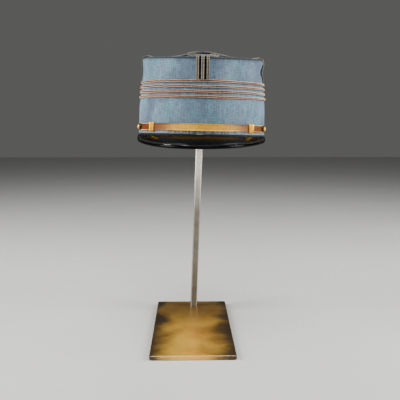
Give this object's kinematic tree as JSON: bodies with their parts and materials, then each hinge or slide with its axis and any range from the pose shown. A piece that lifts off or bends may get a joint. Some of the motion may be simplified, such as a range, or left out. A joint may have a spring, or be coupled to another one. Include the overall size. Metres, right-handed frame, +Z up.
{
  "type": "kepi cap on display stand",
  "caption": "Stiff-sided officer's kepi in light blue cloth with level and upright braid, a gold lace chin strap and a glossy peak, on a plain steel display stand.",
  "frame": {"origin": "centre of the underside of the stand's plate", "axes": "+Z up, -Y towards the cap's peak, +X towards the cap wearer's left"},
  "size_m": [0.1641, 0.29, 0.3442],
  "materials": {
    "cloth": "matt wool broadcloth",
    "galon_braid": "dull rose-brown metal-thread braid",
    "upright_braid": "dull grey metal-thread braid",
    "tape": "matt dark tape",
    "gold_lace": "worn gold lace",
    "gilt": "polished gilt",
    "patent_leather": "high gloss",
    "steel": "satin"
  },
  "bodies": {
    "root": {"band": "cloth", "crown_side": "cloth", "crown_top": "cloth", "galon_1": "galon_braid", "galon_2": "galon_braid", "galon_3": "galon_braid", "galon_4": "galon_braid", "tape_front": "tape", "upright_front_1": "upright_braid", "upright_front_2": "upright_braid", "upright_front_3": "upright_braid", "tape_right": "tape", "upright_right_1": "upright_braid", "upright_right_2": "upright_braid", "upright_right_3": "upright_braid", "tape_back": "tape", "upright_back_1": "upright_braid", "upright_back_2": "upright_braid", "upright_back_3": "upright_braid", "tape_left": "tape", "upright_left_1": "upright_braid", "upright_left_2": "upright_braid", "upright_left_3": "upright_braid", "crown_knot": "upright_braid", "chin_strap": "gold_lace", "strap_tab_left": "gold_lace", "strap_keeper_left": "gilt", "button_left": "gilt", "strap_tab_right": "gold_lace", "strap_keeper_right": "gilt", "button_right": "gilt", "peak": "patent_leather", "peak_binding": "patent_leather", "stand_plate": "steel", "stand_post": "steel"}
  },
  "joints": []
}
